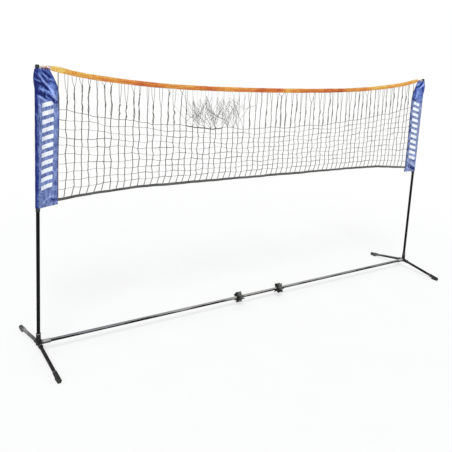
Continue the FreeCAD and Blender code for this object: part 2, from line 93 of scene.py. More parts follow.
def levels(tree, factor, low, high, start=0.0, end=1.0):
    """A factor stretched from start..end to low..high."""
    inputs = {"Value": factor, "From Min": start, "From Max": end, "To Min": low, "To Max": high}
    return put(tree, "MapRange", inputs)["Result"]


def ramp(tree, factor, stops):
    """Colours along a factor; stops are (position, (r, g, b))."""
    made = tree.nodes.new("ShaderNodeValToRGB")
    tree.links.new(factor, made.inputs[0])
    band = made.color_ramp
    while len(band.elements) < len(stops):
        band.elements.new(0.5)
    for element, (position, colour) in zip(band.elements, stops):
        element.position = position
        element.color = (*colour, 1)
    return made.outputs["Color"]


def mix(tree, factor, under, over):
    """One colour laid over another by a factor."""
    inputs = {"Factor": factor, "A": under, "B": over}
    return put(tree, "Mix", inputs, data_type="RGBA")["Result"]


def noise(tree, place, size, detail, **more):
    """Cloudy noise at a place; a larger size gives smaller clouds."""
    inputs = {"Vector": place, "Scale": size, "Detail": detail, **more}
    return put(tree, "TexNoise", inputs)["Fac"]


def own_place(tree):
    return put(tree, "TexCoord", {})["Object"]


def split(tree, place):
    return put(tree, "SeparateXYZ", {"Vector": place})


def off_middle(tree):
    """Distance from the middle of the net, to either side."""
    return maths(tree, "ABSOLUTE", split(tree, own_place(tree))["X"])


def bump(tree, shader, height, distance, strength, under=None):
    """Raises the surface by a height, on top of an earlier bump."""
    inputs = {"Height": height, "Distance": distance, "Strength": strength}
    if under is not None:
        inputs["Normal"] = under
    normal = put(tree, "Bump", inputs)["Normal"]
    tree.links.new(normal, shader.inputs["Normal"])
    return normal


def dress(tree, shader, colour, roughness, shine=None, sheen=None):
    """Links the shader's colour and roughness, and sets its shine and sheen if given."""
    tree.links.new(colour, shader.inputs["Base Color"])
    tree.links.new(roughness, shader.inputs["Roughness"])
    for name, value in (("Specular IOR Level", shine), ("Sheen Weight", sheen)):
        if value is not None:
            shader.inputs[name].default_value = value


def piece_of(name, points, faces):
    """A new smooth object at the origin from its points and faces."""
    mesh = bpy.data.meshes.new(name)
    mesh.from_pydata(points, [], faces)
    mesh.validate()
    made = bpy.data.objects.new(name, mesh)
    bpy.context.scene.collection.objects.link(made)
    mesh.shade_smooth()
    return made


def way_at(line, i):
    """Direction of a line of points at one of them."""
    return (line[min(i + 1, len(line) - 1)] - line[max(i - 1, 0)]).normalized()


def wrap(count, sides, first=0):
    """Faces between rings of points, each ring joined to the next."""
    faces = []
    for i in range(count - 1):
        for k in range(sides):
            a, b = first + i * sides + k, first + i * sides + (k + 1) % sides
            faces.append((a, b, b + sides, a + sides))
    return faces


def add_tube(points, faces, line, radius, sides):
    """Adds a closed round cord along a line; radius is a number or one for each point."""
    radii = radius if isinstance(radius, list) else [radius] * len(line)
    first = len(points)
    across = way_at(line, 0).orthogonal().normalized()
    for i, (place, reach) in enumerate(zip(line, radii)):
        way = way_at(line, i)
        across = (across - way * across.dot(way)).normalized()
        up = way.cross(across)
        for k in range(sides):
            turn = 2 * pi * k / sides
            points.append(place + (across * cos(turn) + up * sin(turn)) * reach)
    faces += wrap(len(line), sides, first)
    faces.append(tuple(first + k for k in reversed(range(sides))))
    last = first + (len(line) - 1) * sides
    faces.append(tuple(last + k for k in range(sides)))


pole_place = 1.5
rope_height = 1.5379
rope_knee_height = rope_height - 0.047
rope_low_height = rope_height - 0.097
eye_reach = 0.01113
eye_half = [Vector((0.034, -0.0052, 0)), Vector((0.022, -0.0062, 0))]
for turn in range(-60, -331, -45):
    angle = radians(turn)
    eye_half.append(Vector((cos(angle), sin(angle), 0)) * eye_reach)
eye_half += [Vector((0.018, 0.0014, 0)), Vector((0.028, 0, 0))]
rope_half = [Vector((p.x - pole_place, p.y, rope_height)) for p in eye_half]
rope_half += [
    Vector((-1.44, 0, rope_height)),
    Vector((-1.22, 0, rope_knee_height)),
    Vector((-0.621, 0, rope_low_height)),
]
rope_route = rope_half + [Vector((-p.x, p.y, p.z)) for p in reversed(rope_half)]
route_data = bpy.data.curves.new("head_rope_route", "CURVE")
route_data.dimensions = "3D"
route_data.resolution_u = 48
route = route_data.splines.new("NURBS")
route.points.add(len(rope_route) - 1)
for spot, place in zip(route.points, rope_route):
    spot.co = (*place, 1)
route.order_u = 3
route.use_endpoint_u = True
route_object = bpy.data.objects.new("head_rope_route", route_data)
bpy.context.scene.collection.objects.link(route_object)
bpy.context.view_layer.update()
route_mesh = bpy.data.meshes.new_from_object(route_object)
rope_line = [v.co.copy() for v in route_mesh.vertices]
bpy.data.meshes.remove(route_mesh)
bpy.data.objects.remove(route_object)


def evenly(line, step):
    """Points a set distance apart along a line of points."""
    spots = [line[0]]
    left = step
    for a, b in zip(line, line[1:]):
        reach = (b - a).length
        while reach > 1e-9 and left <= reach:
            a = a + (b - a) * (left / reach)
            spots.append(a)
            reach = (b - a).length
            left = step
        left -= reach
    if (spots[-1] - line[-1]).length > step / 4:
        spots.append(line[-1])
    return spots


rope_step = 0.002
strand_radius = 0.00135
strand_offset = 0.00118
strand_lay = 0.017
rope_line = evenly(rope_line, rope_step)
points, faces = [], []
for strand in range(3):
    line = []
    across = Vector((0, 0, 1))
    for i, place in enumerate(rope_line):
        way = way_at(rope_line, i)
        across = (across - way * across.dot(way)).normalized()
        turn = 2 * pi * (strand / 3 + i * rope_step / strand_lay)
        aside = across * cos(turn) + way.cross(across) * sin(turn)
        line.append(place + aside * strand_offset)
    add_tube(points, faces, line, strand_radius, 6)
rope = piece_of("head_rope_strands", points, faces)

rope_finish, tree, shader = new_finish("white polyester rope")
fibre = noise(tree, own_place(tree), 900, 3)
soil = noise(tree, own_place(tree), 26, 4)
colour = ramp(tree, soil, [(0.3, (0.62, 0.58, 0.54)), (0.6, (0.86, 0.84, 0.8))])
# The eye is painted nearly black where it goes round the cap.
blackened_eye = levels(tree, off_middle(tree), 0, 0.97, 1.4815, 1.4845)
colour = mix(tree, blackened_eye, colour, (0.02, 0.021, 0.02, 1))
dress(tree, shader, colour, levels(tree, fibre, 0.6, 0.9), sheen=0.2)
bump(tree, shader, fibre, 0.0003, 0.6)
rope.data.materials.append(rope_finish)
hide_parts("head_rope")
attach(rope, "net_carriage")

whipping_start, whipping_length = 0.0185, 0.0098
whipping_turns, turn_steps = 7, 14
whipping_middle, whipping_half, whipping_rise = -0.0028, 0.0062, 0.0033
twine_radius = 0.00068
for name, inwards in (("left", 1), ("right", -1)):
    twine = []
    steps = whipping_turns * turn_steps
    for i in range(steps + 1):
        angle = 2 * pi * i / turn_steps
        along = whipping_start + whipping_length * i / steps
        y = whipping_middle + whipping_half * cos(angle)
        z = rope_height + whipping_rise * sin(angle)
        twine.append(Vector((inwards * (along - pole_place), y, z)))
    points, faces = [], []
    add_tube(points, faces, twine, twine_radius, 6)
    whipping = piece_of("rope_whipping_" + name, points, faces)
    whipping_finish, tree, shader = new_finish("red and white twine " + name)
    flecks = noise(tree, own_place(tree), 210, 2)
    colour = ramp(tree, flecks, [(0.46, (0.8, 0.74, 0.7)), (0.54, (0.5, 0.09, 0.1))])
    dress(tree, shader, colour, levels(tree, flecks, 0.55, 0.85))
    bump(tree, shader, flecks, 0.0002, 0.5)
    whipping.data.materials.append(whipping_finish)
    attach(whipping, "net_carriage")


# The floor is plain white, as the background of the picture is, and keeps a soft shadow.
# A large soft lamp hangs over the viewer's left shoulder, and a pale sky lights the rest.
def show_white(tree, lit, white, ray, output, share=1.0):
    """Shows white instead of what is lit, to the camera and to one more kind of ray."""
    rays = put(tree, "LightPath", {})
    seen = maths(tree, "MAXIMUM", rays["Is Camera Ray"], rays[ray])
    seen = maths(tree, "MULTIPLY", seen, share)
    both = put(tree, "MixShader", {0: seen, 1: lit, 2: white})["Shader"]
    tree.links.new(both, tree.nodes[output].inputs["Surface"])


plain_white = {"Color": (1, 1, 1, 1), "Strength": 1.0}
bpy.ops.mesh.primitive_plane_add(size=60, location=(0, 0, 0))
floor = bpy.context.object
floor.name = "studio_floor"
floor_finish, tree, shader = new_finish("pale studio floor")
grain = noise(tree, own_place(tree), 3, 4)
colour = ramp(tree, grain, [(0.3, (0.9, 0.9, 0.9)), (0.7, (0.93, 0.93, 0.93))])
dress(tree, shader, colour, levels(tree, grain, 0.9, 0.9), 0.1)
distance = put(tree, "VectorMath", {0: own_place(tree)}, operation="LENGTH")["Value"]
white_share = levels(tree, distance, 0.62, 1.0, 1.2, 4.5)
glow = put(tree, "Emission", plain_white)["Emission"]
show_white(tree, shader.outputs[0], glow, "Is Glossy Ray", "Material Output", white_share)
floor.data.materials.append(floor_finish)

sky = bpy.data.worlds.new("pale sky")
bpy.context.scene.world = sky
sky.use_nodes = True
tree = sky.node_tree
day = tree.nodes["Background"]
day.inputs["Color"].default_value = (0.96, 0.98, 1, 1)
day.inputs["Strength"].default_value = 0.52
plain = put(tree, "Background", plain_white)["Background"]
show_white(tree, day.outputs[0], plain, "Is Transmission Ray", "World Output")

lamp = bpy.data.objects.new("soft_lamp", bpy.data.lights.new("soft_lamp", "SUN"))
lamp.data.energy = 2.2
lamp.data.angle = radians(24)
lamp.rotation_euler = (radians(42), 0, radians(-34))
bpy.context.scene.collection.objects.link(lamp)


# The poles, feet and crossbar are steel tubes with a black powder coat. The poles are dull and
# nearly black and the feet are scuffed. The crossbar is painted light grey on top, as a painted
# reflection of the sky, most of all in its middle.
def stretched(tree, place, scale, **more):
    return put(tree, "Mapping", {"Vector": place, "Scale": scale, **more})["Vector"]


def added(tree, *values):
    """The sum of several values."""
    total = values[0]
    for value in values[1:]:
        total = maths(tree, "ADD", total, value)
    return total


def coated_steel(name, along, streaks, sheen_low, sheen_high, shine, scuffs):
    """Black coat on a tube whose length runs along an axis."""
    finish, tree, shader = new_finish(name)
    place = own_place(tree)
    stretch = [60.0, 60.0, 60.0]
    stretch[along] = streaks
    streak = noise(tree, stretched(tree, place, stretch), 1, 5)
    scuff = noise(tree, stretched(tree, place, [s * 6 for s in stretch]), 1, 3)
    coat = ramp(tree, streak, [(0.3, (0.0015, 0.0018, 0.001)), (0.7, (0.006, 0.007, 0.005))])
    coat = mix(tree, levels(tree, scuff, 0.0, scuffs, 0.6, 0.74), coat, (0.16, 0.165, 0.16, 1))
    roughness = levels(tree, streak, sheen_low, sheen_high, 0.35, 0.65)
    dress(tree, shader, coat, roughness, shine)
    bump(tree, shader, noise(tree, place, 1600, 2), 0.00004, 0.35)
    return finish, tree, shader, streak


def recolour(tree, shader, share, over):
    """Lays a colour over the shader's own by a share."""
    own = shader.inputs["Base Color"].links[0].from_socket
    tree.links.new(mix(tree, share, own, over), shader.inputs["Base Color"])


def give(finish, names, ends=("left", "right")):
    """Puts a finish on the CAD pieces of these names, at these ends."""
    for name in names:
        for end in ends:
            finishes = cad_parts[name + "_" + end].data.materials
            finishes.clear()
            finishes.append(finish)


pole_coat = coated_steel("black coat on the poles", 2, 1.4, 0.3, 0.55, 0.08, 0.15)[0]
give(pole_coat, ["lower_pole", "upper_pole"])

foot_name = "black coat on the feet"
foot_coat, tree, shader, streak = coated_steel(foot_name, 1, 5.0, 0.28, 0.55, 0.3, 0.8)
# The rear feet are painted lighter on top, as painted light, more and more towards their tips.
tube_width = 0.019
foot_low, foot_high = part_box("foot_tube_rear_left")
fall = (foot_high.z - foot_low.z - tube_width) / (foot_high.y - foot_low.y)
foot_axis = foot_high.z - tube_width / 2 + fall * foot_low.y
parts = split(tree, own_place(tree))
above = maths(tree, "MULTIPLY_ADD", parts["Y"], fall, parts["Z"])
above = added(tree, above, levels(tree, streak, -0.006, 0.006, 0.3, 0.7))
top = levels(tree, above, 0, 1, foot_axis + 0.001, foot_axis + 0.0075)
outwards = levels(tree, parts["Y"], 0, 1, 0.03, 0.3)
recolour(tree, shader, maths(tree, "MULTIPLY", top, outwards), (0.34, 0.335, 0.325, 1))
give(foot_coat, ["foot_tube_front", "foot_tube_rear"])

bar_name = "black coat on the crossbar"
bar_coat, tree, shader, streak = coated_steel(bar_name, 0, 7.0, 0.4, 0.65, 0.08, 0.5)
bar_low, bar_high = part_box("crossbar_middle")
# The painted reflection of the sky on the bar's top is lightest in its middle.
bar_painted_sky = ramp(
    tree,
    levels(tree, off_middle(tree), 0, 1, 0.1, 1.1),
    [(0.0, (0.35, 0.35, 0.33)), (0.45, (0.29, 0.29, 0.285)), (1.0, (0.19, 0.195, 0.205))],
)
# The painted reflection ends at a wavy edge, and towards the poles the dark underside reaches
# higher.
height = levels(tree, split(tree, own_place(tree))["Z"], 0, 1, bar_low.z, bar_high.z)
wave = levels(tree, streak, -0.2, 0.2, 0.3, 0.7)
wavy = added(tree, wave, height, levels(tree, off_middle(tree), -0.02, -0.1, 0.2, 1.4))
recolour(tree, shader, levels(tree, wavy, 0, 1, 0.56, 0.68), bar_painted_sky)
give(bar_coat, ["crossbar"], ["left", "middle", "right"])


# The ferrules that join the crossbar's tubes are bare steel, brushed lengthways.
# Only a hair of them shows in the joints.
ferrule_finish, tree, shader = new_finish("brushed steel ferrule")
brushing = noise(tree, stretched(tree, own_place(tree), (30, 900, 900)), 1, 4)
colour = ramp(tree, brushing, [(0.3, (0.42, 0.43, 0.45)), (0.7, (0.62, 0.63, 0.65))])
dress(tree, shader, colour, levels(tree, brushing, 0.25, 0.5))
shader.inputs["Metallic"].default_value = 1
bump(tree, shader, brushing, 0.00003, 0.5)
give(ferrule_finish, ["crossbar_ferrule"])


# The connectors at the feet of the poles are injection-moulded nylon in dark grey, with a fine
# grained skin. The rims of their sockets are painted lighter as painted highlights, and the sockets
# of the crossbar are painted lighter on top, as painted light, as the bar is.
def moulded(name, dark, light, rough_low, rough_high, grain_size, shine=0.35, painted_bands=()):
    """Moulded skin; its bands are (axis, place, half width, shade), painted lighter as painted
    highlights or darker as painted shade.
    """
    finish, tree, shader = new_finish(name)
    place = own_place(tree)
    grain = noise(tree, place, grain_size, 3)
    cloud = noise(tree, place, 38, 4)
    dust = noise(tree, place, 160, 5)
    pale = [min(1.0, c * 2.2 + 0.03) for c in light]
    colour = ramp(tree, cloud, [(0.32, dark), (0.68, light)])
    colour = mix(tree, levels(tree, dust, 0, 0.35, 0.55, 0.75), colour, (*pale, 1))
    parts = split(tree, place)
    for axis, middle, half, shade in painted_bands:
        off = maths(tree, "SUBTRACT", maths(tree, "ABSOLUTE", parts[axis]), middle)
        near = levels(tree, maths(tree, "ABSOLUTE", off), 0.75, 0.0, half * 0.6, half)
        near = maths(tree, "MULTIPLY", near, levels(tree, dust, 0.4, 1.3, 0.3, 0.6))
        colour = mix(tree, near, colour, (shade, shade, shade, 1))
    dress(tree, shader, colour, levels(tree, grain, rough_low, rough_high), shine)
    bump(tree, shader, grain, 0.00012, 0.4)
    return finish


connector_skin = moulded(
    "grey nylon connector", (0.006, 0.006, 0.0055), (0.028, 0.028, 0.027), 0.4, 0.6, 1300,
    shine=0.14, painted_bands=(("Z", 0.1172, 0.0022, 0.3), ("Y", 0.0418, 0.0022, 0.26)),
)
tree = connector_skin.node_tree
# Painted light on top of the crossbar's sockets, with a wavy edge.
patches = noise(tree, own_place(tree), 90, 4)
height = split(tree, own_place(tree))["Z"]
wavy = added(tree, levels(tree, patches, -0.006, 0.006, 0.3, 0.7), height)
bar_axis = (bar_low.z + bar_high.z) / 2
top = levels(tree, wavy, 0, 1, bar_axis - 0.002, bar_axis + 0.005)
inwards = levels(tree, off_middle(tree), 1.0, 0.0, 1.474, 1.486)
painted_top_light = maths(tree, "MULTIPLY", top, inwards)
recolour(tree, tree.nodes["Principled BSDF"], painted_top_light, (0.36, 0.36, 0.35, 1))
give(connector_skin, ["connector"])


# The pole caps and the guide collars are moulded in black nylon. The caps plug into the
# tops of the poles, and the collars sit on the lower poles, under the sleeves.
cap_dark, cap_light = (0.013, 0.014, 0.014), (0.026, 0.027, 0.027)
cap_skin = moulded("black moulded cap", cap_dark, cap_light, 0.35, 0.5, 1500)
give(cap_skin, ["pole_cap", "guide_collar"])


# The storage clips are moulded in dark grey nylon and turn on the crossbar. The left-hand end of
# each clip, its open end, is painted black as painted shade, and the rest is dusty.
for name, shaded_end in (("left", 0.192), ("right", 0.152)):
    clip_skin = moulded(
        "dark grey clip " + name, (0.008, 0.01, 0.008), (0.2, 0.212, 0.19), 0.3, 0.5, 1400,
        shine=0.12, painted_bands=(("X", shaded_end, 0.018, 0.001),),
    )
    give(clip_skin, ["storage_clip"], [name])


# The foot caps are rubber boots pushed over the ends of the feet, with a painted highlight round
# their mouth. The front ones are still black, and the rear ones have faded to grey.
mouth_highlight = ("Y", 0.272, 0.0026, 0.24)
for end, name, dark, light, rough_low, rough_high in (
    ("front", "rubber foot cap", (0.006, 0.007, 0.006), (0.026, 0.029, 0.024), 0.6, 0.85),
    ("rear", "faded rubber foot cap", (0.03, 0.031, 0.03), (0.11, 0.112, 0.108), 0.65, 0.9),
):
    boot_skin = moulded(name, dark, light, rough_low, rough_high, 700, painted_bands=[mouth_highlight])
    give(boot_skin, ["foot_cap_" + end])


# The twist locks are of natural nylon. Each has a plug with a pin in the foot of the
# upper pole, and a slit ring on the pin that bears on the inside of the lower pole.
lock_dark, lock_light = (0.6, 0.59, 0.54), (0.74, 0.73, 0.69)
lock_skin = moulded("natural nylon lock", lock_dark, lock_light, 0.35, 0.5, 900)
give(lock_skin, ["lock_core", "lock_ring"])


# The head tape is a strip of orange woven polyester, folded round the rope and sewn along both
# edges and beside the rope. Its ends taper into a white binding that is pulled over the splice. It
# is painted yellow in patches and at both ends, as painted light where its twisting faces turn to
# the light, and red-orange as painted shade where they turn away.
tape_half = 0.014
tape_swell = 0.004
tape_edge = 0.0012
tape_seam_depth, tape_seam_place, tape_seam_half = 0.0007, 0.34, 0.1
thinnest_half = 0.0006
orange_end = 1.431
binding_end = 1.4835
taper_length = 0.03
tape_ring = 22
tape_line = [p for p in evenly(rope_line, 0.006) if abs(p.x) < binding_end and abs(p.y) < 0.0012]


def tape_reach(x):
    """Half the tape's height at a place along the net."""
    inside = (orange_end - abs(x)) / taper_length
    if inside > 0:
        return tape_half * (0.86 + 0.14 * sin(pi / 2 * min(1.0, inside)))
    outside = (abs(x) - orange_end) / (binding_end - orange_end)
    return tape_half * (0.82 - 0.2 * outside)


def lens_point(turn, pucker):
    """A point of the tape's lens section, as (outward, upward)."""
    rise = sin(turn)
    out = tape_edge + (tape_swell - tape_edge) * (1 - abs(rise)) ** 0.9 * (1 + pucker)
    out -= tape_seam_depth * exp(-(((abs(rise) - tape_seam_place) / tape_seam_half) ** 2))
    out = copysign(max(out, thinnest_half), cos(turn))
    return out * min(1, abs(cos(turn)) * 3), rise


random.seed(4)
points, tape_uv = [], []
run = 0.0
for i, place in enumerate(tape_line):
    way = way_at(tape_line, i)
    up = Vector((-way.z, 0, way.x))
    if i:
        run += (place - tape_line[i - 1]).length
    lean = 0.16 * sin(run * 5.3) + 0.1 * sin(run * 17)
    ripple = 0.0007 * sin(run * 41) + random.uniform(-0.0002, 0.0002)
    pucker = 0.12 * sin(run * 520 + 2.2 * sin(run * 31))
    height = tape_reach(place.x) * (1 + 0.03 * sin(run * 23) + 0.02 * sin(run * 73))
    for k in range(tape_ring):
        out, share = lens_point(2 * pi * k / tape_ring, pucker)
        aside = out + (lean * share * height + ripple * abs(share)) * abs(share)
        points.append(place + Vector((0, aside, 0)) + up * share * height)
        tape_uv.append((run, k / tape_ring))
tape = piece_of("head_tape_cloth", points, wrap(len(tape_line), tape_ring))


def make_cloth(piece, corners, thickness):
    """Gives a skin the coordinates of its cloth, faces that look outwards and a wall inwards."""
    layer = piece.data.uv_layers.new(name="cloth")
    for polygon in piece.data.polygons:
        spots = [corners[v] for v in polygon.vertices]
        # Round a band, the last column closes on the first.
        wraps = max(s[1] for s in spots) - min(s[1] for s in spots) > 0.5
        for loop, (u, v) in zip(polygon.loop_indices, spots):
            layer.data[loop].uv = (u, v + 1.0 if wraps and v < 0.5 else v)
    bpy.ops.object.select_all(action="DESELECT")
    piece.select_set(True)
    bpy.context.view_layer.objects.active = piece
    bpy.ops.object.mode_set(mode="EDIT")
    bpy.ops.mesh.select_all(action="SELECT")
    bpy.ops.mesh.normals_make_consistent(inside=False)
    bpy.ops.object.mode_set(mode="OBJECT")
    wall = piece.modifiers.new("wall", "SOLIDIFY")
    wall.thickness = thickness
    wall.offset = -1.0
    bpy.ops.object.modifier_apply(modifier="wall")


make_cloth(tape, tape_uv, 0.0008)


def waves(tree, place, count):
    """So many waves to each unit of a place."""
    return maths(tree, "SINE", maths(tree, "MULTIPLY", place, 2 * pi * count))


def weave(tree, along, across, warps, wefts):
    """Height of a plain weave, with so many threads to a metre or a turn each way."""
    return maths(tree, "MULTIPLY", waves(tree, along, warps), waves(tree, across, wefts))


def dashes(tree, place, pitch, share, start=0.0):
    """1 on a share of each pitch along a place, and 0 between, as in a row of stitches."""
    pace = maths(tree, "MULTIPLY_ADD", place, 1 / pitch, -start / pitch)
    return maths(tree, "LESS_THAN", maths(tree, "FRACT", pace), share)


def cloth_place(tree):
    return put(tree, "UVMap", {}, uv_map="cloth")["UV"]


tape_finish, tree, shader = new_finish("orange woven tape")
parts = split(tree, cloth_place(tree))
along, around = parts["X"], parts["Y"]
height = waves(tree, around, 1)
face_place = put(tree, "CombineXYZ", {"X": along, "Y": height})["Vector"]
drift = noise(tree, stretched(tree, face_place, (14, 1.2, 1)), 1, 4)
mottle = noise(tree, stretched(tree, face_place, (120, 2.4, 1)), 1, 5)
# How light it is painted at places along the net: painted light where the twisting tape faces the
# light, and painted shade where it turns away.
painted_light_along = [
    (-1.45, 1.0), (-1.3, 0.62), (-1.05, 0.36), (-0.89, 0.0), (-0.78, 0.46), (-0.62, 0.46),
    (-0.49, 0.05), (-0.36, 0.55), (-0.25, 0.34), (-0.13, 0.08), (0.06, -0.06), (0.12, 0.55),
    (0.3, 0.16), (0.6, 0.04), (0.68, 0.4), (0.86, 0.3), (0.94, 0.84), (1.1, 0.6), (1.45, 0.66),
]
pole_to_pole = levels(tree, split(tree, own_place(tree))["X"], 0, 1, -pole_place, pole_place)
stops = [((x / pole_place + 1) / 2, (f, f, f)) for x, f in painted_light_along]
# The tape's upper edge is also painted lighter, as painted light.
shade = added(
    tree,
    levels(tree, ramp(tree, pole_to_pole, stops), 0.16, 0.86),
    levels(tree, height, -0.07, 0.1, -1, 1),
    levels(tree, drift, -0.19, 0.19, 0.35, 0.65),
    levels(tree, mottle, -0.3, 0.3, 0.3, 0.7),
)
oranges = [
    (0.0, (0.37, 0.055, 0.012)),
    (0.18, (0.56, 0.11, 0.022)),
    (0.5, (0.65, 0.255, 0.042)),
    (0.75, (0.69, 0.39, 0.075)),
    (1.0, (0.8, 0.63, 0.17)),
]
# The binding at the ends is white above and stained dark red below.
stains = noise(tree, own_place(tree), 190, 3)
low_side = added(tree, levels(tree, height, 0.2, -0.14, -1, 1), stains)
whites = [(0.46, (0.9, 0.84, 0.72)), (0.53, (0.6, 0.36, 0.38)), (0.6, (0.1, 0.015, 0.03))]
ends = levels(tree, off_middle(tree), 0, 1, orange_end - 0.0008, orange_end + 0.0008)
colour = mix(tree, ends, ramp(tree, shade, oranges), ramp(tree, low_side, whites))
# Two rows of orange stitches run along each face.
off_rope = maths(tree, "ABSOLUTE", height)
rows = [maths(tree, "COMPARE", off_rope, row, 0.035) for row in (0.86, 0.36)]
rows = maths(tree, "MAXIMUM", *rows)
stitch = maths(tree, "MULTIPLY", rows, dashes(tree, along, 0.0042, 0.68))
colour = mix(tree, maths(tree, "MULTIPLY", stitch, 0.6), colour, (0.95, 0.75, 0.4, 1))
dress(tree, shader, colour, levels(tree, drift, 0.7, 0.9), 0.15, 0.04)
under = bump(tree, shader, weave(tree, along, around, 1 / 0.0011, 72), 0.00018, 0.4)
bump(tree, shader, stitch, 0.0004, 0.8, under)
tape.data.materials.append(tape_finish)
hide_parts("head_tape")
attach(tape, "net_carriage")


# The bottom hem is a black webbing folded round the net's foot cord and sewn through.
# It rises from the sleeves and arches up a little between them.
hem_half = 0.0077
hem_swell = 0.0015
hem_knee = 1.04
hem_low, hem_high = 0.841, 0.883
hem_round = 5.0
hem_ring, hem_steps = 12, 420
net_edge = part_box("net_mesh")[1].x


def hem_height(x):
    """Height of the hem's middle; a wide arc rounds each knee."""
    slope = atan2(hem_high - hem_low, pole_place - hem_knee)
    reach = hem_round * tan(slope / 2)
    x = abs(x)
    if x < hem_knee - reach:
        return hem_high
    if x > hem_knee + reach * cos(slope):
        return hem_high - (x - hem_knee) * tan(slope)
    aside = x - (hem_knee - reach)
    return hem_high - hem_round + sqrt(hem_round ** 2 - aside ** 2)


points, hem_uv = [], []
for i in range(hem_steps + 1):
    x = (net_edge + 0.002) * (2 * i / hem_steps - 1)
    height = hem_height(x) + 0.0009 * sin(x * 19) + 0.0005 * sin(x * 53 + 1)
    sway = 0.0016 * sin(x * 13 + 0.7) + 0.0008 * sin(x * 37)
    lean = 0.25 * sin(x * 7.3)
    swell = hem_swell * (1 + 0.12 * sin(x * 900))
    for k in range(hem_ring):
        turn = 2 * pi * k / hem_ring
        rise = hem_half * sin(turn)
        points.append(Vector((x, sway + swell * cos(turn) + lean * rise, height + rise)))
        hem_uv.append((x, k / hem_ring))
hem = piece_of("bottom_hem_webbing", points, wrap(hem_steps + 1, hem_ring))
make_cloth(hem, hem_uv, 0.0007)

hem_finish, tree, shader = new_finish("black hem webbing")
parts = split(tree, cloth_place(tree))
fade = noise(tree, own_place(tree), 9, 5)
colour = ramp(tree, fade, [(0.3, (0.03, 0.033, 0.028)), (0.7, (0.105, 0.112, 0.1))])
dress(tree, shader, colour, levels(tree, fade, 0.65, 0.9), sheen=0.2)
bump(tree, shader, weave(tree, parts["X"], parts["Y"], 1 / 0.0014, 20), 0.0003, 0.6)
hem.data.materials.append(hem_finish)
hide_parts("bottom_hem")
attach(hem, "net_carriage")


# The net is knotted from thin grey-olive cord. Its meshes end below the tape: there the
# uprights run on alone, fork and tie on under it, and in one stretch they are tangled.
# At the foot the uprights slant to the hem.
net_columns, net_rows = 66, 10
net_inset, foot_slant = 0.003, 0.012
lowest_row = 0.07
border_height, border_rise, border_reach = 1.198, 0.112, 1.3
fork_shares = (0.42, 0.55, 0.68, 0.8, 0.9)
fork_spreads = (0.005, 0.007, 0.01, 0.014, 0.022)
upright_radius, beside_radius, tie_radius = 0.0023, 0.0018, 0.0013
level_radius, bold_radius, bold_chance = 0.00095, 0.0018, 0.08
knot_half, knot_waist, knot_ring = 0.003, 0.002262, 6
upright_steps, tie_steps, level_steps = 3, 7, 4
tangle_middle, tangle_reach, tangle_cords = -0.42, 0.235, 14
doubled_middle, doubled_reach = -0.54, 0.13
random.seed(11)


def clamped(value):
    """A value held between 0 and 1."""
    return min(1.0, max(0.0, value))


def stray(low, high, free):
    """A random size, or none, and no draw, where the cord isn't free."""
    return random.uniform(low, high) if free else 0.0


def tape_foot(x):
    """Height of the tape's lower edge at a place along the net."""
    low, high = 0, len(tape_line) - 1
    while high - low > 1:
        middle = (low + high) // 2
        low, high = (middle, high) if tape_line[middle].x < x else (low, middle)
    a, b = tape_line[low], tape_line[high]
    share = clamped((x - a.x) / (b.x - a.x))
    return a.z + (b.z - a.z) * share - tape_reach(x) * 0.97


knots, heads = [], []
for column in range(net_columns + 1):
    edge = net_edge - net_inset
    across = -edge + 2 * edge * column / net_columns
    head, foot = tape_foot(across), hem_height(across) + hem_half
    border = border_height + border_rise * (across / border_reach) ** 2
    border = (border - foot) / (head - foot)
    free = 0 < column < net_columns
    drift = stray(-0.006, 0.006, free)
    swing = stray(0.0015, 0.0045, free)
    phase = random.uniform(0, 6.28)
    line = []
    for row in range(net_rows + 1):
        share = lowest_row + (border - lowest_row) * (row - 1) / (net_rows - 1) if row else 0.0
        x = across + drift * sin(pi * share) + swing * sin(phase + row * 1.7)
        y = 0.002 * sin(phase + row * 2.3) if free and row else 0.0
        drop = 0.005 * sin(column * 0.8 + row * 1.3) * sin(pi * share)
        drop += stray(-0.004, 0.004, free and row)
        line.append(Vector((x, y, foot + (head - foot) * share + drop)))
    knots.append(line)
    # The upright goes on above the last mesh to where it forks.
    top = line[-1]
    reach = random.choice(fork_shares) if free else 1.0
    lean = stray(-0.009, 0.009, free)
    upper = []
    for k in range(1, 6):
        share = reach * k / 5
        x = top.x + lean * share + stray(-0.003, 0.003, free)
        upper.append(Vector((x, top.y * (1 - share), top.z + (tape_foot(x) - top.z) * share)))
    heads.append(upper)


def tangled(x):
    """How thick the tangle is at a place along the net: 1 in its middle, 0 outside."""
    return max(0.0, 1 - (abs(x - tangle_middle) / tangle_reach) ** 2)


def bowed(start, end, steps, bow):
    """A line between two places that bows out in its middle."""
    line = []
    for k in range(steps + 1):
        share = k / steps
        line.append(start + (end - start) * share + bow * sin(pi * share))
    return line


def loose_line(start, end, steps, size):
    """A slack cord's places between two knots."""
    line = [start.lerp(end, k / steps) for k in range(steps + 1)]
    for spot in line[1:-1]:
        spot.x += random.uniform(-size, size)
        spot.y += random.uniform(-size, size) * 0.4
        spot.z += random.uniform(-size, size) * 0.7
    return line


def add_knot(points, faces, middle):
    """Adds a small faceted knot round a crossing."""
    upper = len(points) + 1
    lower = upper + knot_ring
    points.append(middle + Vector((0, 0, knot_half)))
    for k in range(2 * knot_ring):
        below = k // knot_ring
        turn = 2 * pi * (k + below / 2) / knot_ring
        x, y = knot_waist * cos(turn), knot_waist * sin(turn)
        points.append(middle + Vector((x, y, knot_half * (0.5 - below))))
    points.append(middle - Vector((0, 0, knot_half)))
    for k in range(knot_ring):
        n = (k + 1) % knot_ring
        faces.append((upper - 1, upper + k, upper + n))
        faces.append((upper + k, lower + k, upper + n))
        faces.append((lower + k, lower + n, upper + n))
        faces.append((lower + n, lower + k, lower + knot_ring))


